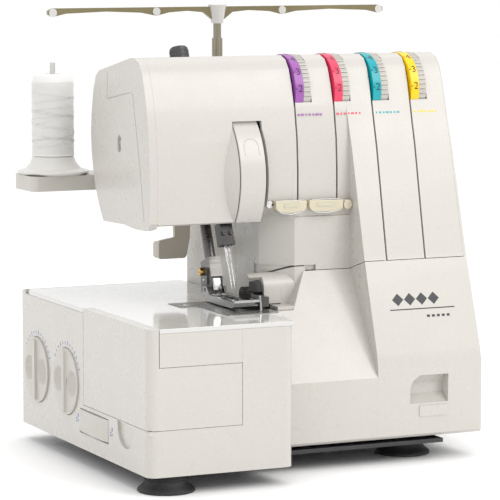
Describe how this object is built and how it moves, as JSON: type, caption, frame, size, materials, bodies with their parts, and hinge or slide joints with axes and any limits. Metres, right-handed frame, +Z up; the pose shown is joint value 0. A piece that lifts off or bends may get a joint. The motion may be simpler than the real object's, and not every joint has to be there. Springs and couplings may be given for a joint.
{
  "type": "serger overlock machine",
  "caption": "Domestic serger with a folding front cover, slide-off free arm, round tension dials, handwheel and a telescoping thread stand behind the head.",
  "frame": {"origin": "on the table, under the middle of the machine's box with its thread stand", "axes": "+Z up, -Y towards the operator, -X towards the needle side, +X towards the handwheel"},
  "size_m": [0.3206, 0.2545, 0.322],
  "materials": {
    "white_plastic": "glossy moulded",
    "plate_plastic": "high gloss",
    "grey_white": "satin moulded",
    "cream_plastic": "translucent look",
    "rubber_black": "matte",
    "black_plastic": "satin",
    "dark_steel": "dark coat",
    "bright_steel": "polished",
    "steel": "machined",
    "plate_paint": "black paint",
    "casting": "as cast",
    "motor_metal": "grey paint",
    "brass": "turned",
    "bronze_bar": "olive, glossy",
    "purple": "glossy",
    "red": "glossy",
    "teal": "glossy",
    "yellow": "glossy",
    "thread_white": "wound thread"
  },
  "bodies": {
    "machine": {"base_plate": "plate_paint", "suction_feet": "rubber_black", "lower_cover": "white_plastic", "free_arm": "white_plastic", "cloth_plate": "plate_plastic", "needle_plate": "steel", "front_casing": "white_plastic", "rear_casing": "white_plastic", "end_cap": "white_plastic", "right_cover": "white_plastic", "main_frame": "casting", "upper_frame": "casting", "motor": "motor_metal", "drive_belt": "rubber_black", "presser_spring": "steel", "tension_axle": "steel", "tension_discs": "bright_steel", "front_guides": "cream_plastic", "lower_knife": "steel", "spool_stand": "grey_white", "stand_bracket": "grey_white", "spool_cushions": "grey_white", "power_socket": "black_plastic"},
    "extension": {"free_arm_extension": "white_plastic"},
    "hinge_rod": {"looper_hinge_rod": "steel"},
    "front_cover": {"looper_cover": "white_plastic"},
    "drive": {"main_shaft": "steel", "shaft_eccentrics": "steel", "drive_pulley": "black_plastic", "handwheel": "grey_white"},
    "motor_rotor": {"motor_shaft": "steel"},
    "needle_drive": {"needle_bar": "bright_steel", "needle_clamp": "dark_steel", "needles": "bright_steel", "needle_screws": "dark_steel"},
    "presser": {"presser_bar": "steel", "foot_holder": "dark_steel", "foot_screw": "brass"},
    "foot": {"presser_foot": "bright_steel"},
    "lifter": {"presser_lifter": "grey_white"},
    "pressure": {"pressure_knob": "black_plastic"},
    "take_up": {"take_up_lever": "white_plastic"},
    "tension_1": {"dial_left_needle": "purple"},
    "tension_2": {"dial_right_needle": "red"},
    "tension_3": {"dial_upper_looper": "teal"},
    "tension_4": {"dial_lower_looper": "yellow"},
    "length_dial": {"stitch_length_dial": "grey_white"},
    "feed_dial": {"differential_dial": "grey_white"},
    "lever": {"stitch_lever": "grey_white"},
    "knife": {"upper_knife": "steel", "knife_arm": "dark_steel", "knife_knob": "black_plastic"},
    "looper_up": {"upper_looper": "bright_steel"},
    "looper_low": {"lower_looper": "bright_steel"},
    "feed": {"feed_dogs": "steel"},
    "pole_middle": {"thread_pole_middle": "steel"},
    "pole_top": {"thread_pole_top": "bright_steel"},
    "guide_bar": {"thread_guide_bar": "bronze_bar"},
    "spool": {"thread_spool": "thread_white"},
    "switch": {"power_switch": "black_plastic"}
  },
  "joints": [
    {"name": "extension_slide", "type": "slide", "parent": "machine", "child": "extension", "axis": [-1, 0, 0], "range_m": [0, 0.12]},
    {"name": "cover_slide", "type": "slide", "parent": "machine", "child": "hinge_rod", "axis": [1, 0, 0], "range_m": [0, 0.008]},
    {"name": "cover_hinge", "type": "hinge", "parent": "hinge_rod", "child": "front_cover", "pos_m": [0.0356, -0.079, 0.022], "axis": [1, 0, 0], "range_deg": [0, 75]},
    {"name": "handwheel_turn", "type": "hinge", "parent": "machine", "child": "drive", "pos_m": [0.1356, 0.02, 0.072], "axis": [1, 0, 0], "continuous": true},
    {"name": "motor_turn", "type": "hinge", "parent": "machine", "child": "motor_rotor", "pos_m": [0.0556, 0.082, 0.047], "axis": [1, 0, 0], "continuous": true},
    {"name": "needle_bar_slide", "type": "slide", "parent": "machine", "child": "needle_drive", "axis": [0, 0.3584, 0.9336], "range_m": [-0.026, 0]},
    {"name": "presser_bar_slide", "type": "slide", "parent": "machine", "child": "presser", "axis": [0, 0.3584, 0.9336], "range_m": [0, 0.005]},
    {"name": "foot_tilt", "type": "hinge", "parent": "presser", "child": "foot", "pos_m": [-0.0554, -0.012, 0.1224], "axis": [-1, 0, 0], "range_deg": [0, 5]},
    {"name": "lifter_turn", "type": "hinge", "parent": "machine", "child": "lifter", "pos_m": [-0.0394, 0.06, 0.18], "axis": [0, 1, 0], "range_deg": [0, 60]},
    {"name": "pressure_turn", "type": "hinge", "parent": "machine", "child": "pressure", "pos_m": [-0.0554, 0.04808, 0.2885], "axis": [0, 0.3584, 0.9336], "range_deg": [-180, 180]},
    {"name": "take_up_turn", "type": "hinge", "parent": "machine", "child": "take_up", "pos_m": [-0.0394, 0.0067, 0.2035], "axis": [1, 0, 0], "range_deg": [-6, 6]},
    {"name": "tension_1_turn", "type": "hinge", "parent": "machine", "child": "tension_1", "pos_m": [0.0056, -0.008, 0.263], "axis": [1, 0, 0], "range_deg": [-150, 150]},
    {"name": "tension_2_turn", "type": "hinge", "parent": "machine", "child": "tension_2", "pos_m": [0.0366, -0.008, 0.263], "axis": [1, 0, 0], "range_deg": [-150, 150]},
    {"name": "tension_3_turn", "type": "hinge", "parent": "machine", "child": "tension_3", "pos_m": [0.0676, -0.008, 0.263], "axis": [1, 0, 0], "range_deg": [-150, 150]},
    {"name": "tension_4_turn", "type": "hinge", "parent": "machine", "child": "tension_4", "pos_m": [0.0986, -0.008, 0.263], "axis": [1, 0, 0], "range_deg": [-150, 150]},
    {"name": "length_turn", "type": "hinge", "parent": "machine", "child": "length_dial", "pos_m": [-0.1444, 0.0875, 0.0565], "axis": [1, 0, 0], "range_deg": [-135, 135]},
    {"name": "feed_turn", "type": "hinge", "parent": "machine", "child": "feed_dial", "pos_m": [-0.1444, 0.028, 0.0565], "axis": [1, 0, 0], "range_deg": [-135, 135]},
    {"name": "lever_turn", "type": "hinge", "parent": "machine", "child": "lever", "pos_m": [-0.1464, -0.025, 0.033], "axis": [0, 0, 1], "range_deg": [-4, 4]},
    {"name": "knife_turn", "type": "hinge", "parent": "machine", "child": "knife", "pos_m": [-0.0144, -0.028, 0.1195], "axis": [-1, 0, 0], "range_deg": [0, 9]},
    {"name": "upper_looper_turn", "type": "hinge", "parent": "machine", "child": "looper_up", "pos_m": [-0.0184, -0.02, 0.06], "axis": [0, 1, 0], "range_deg": [-8, 8]},
    {"name": "lower_looper_turn", "type": "hinge", "parent": "machine", "child": "looper_low", "pos_m": [-0.0394, -0.02, 0.048], "axis": [0, 1, 0], "range_deg": [-12, 12]},
    {"name": "feed_slide", "type": "slide", "parent": "machine", "child": "feed", "axis": [0, 1, 0], "range_m": [-0.002, 0.002]},
    {"name": "pole_middle_slide", "type": "slide", "parent": "machine", "child": "pole_middle", "axis": [0, 0, 1], "range_m": [0, 0.065]},
    {"name": "pole_top_slide", "type": "slide", "parent": "pole_middle", "child": "pole_top", "axis": [0, 0, 1], "range_m": [0, 0.075]},
    {"name": "guide_bar_turn", "type": "hinge", "parent": "pole_top", "child": "guide_bar", "pos_m": [-0.0014, 0.101, 0.312], "axis": [0, 0, 1], "range_deg": [-90, 90]},
    {"name": "spool_lift", "type": "slide", "parent": "machine", "child": "spool", "axis": [0, 0, 1], "range_m": [0, 0.036]},
    {"name": "switch_rock", "type": "hinge", "parent": "machine", "child": "switch", "pos_m": [0.1186, 0.089, 0.074], "axis": [0, 0, 1], "range_deg": [0, 12]}
  ],
  "couplings": [
    {"joint": "motor_turn", "follows": "handwheel_turn", "ratio": 2.7273},
    {"joint": "lifter_turn", "follows": "presser_bar_slide", "rad_per_m": 209.44}
  ]
}
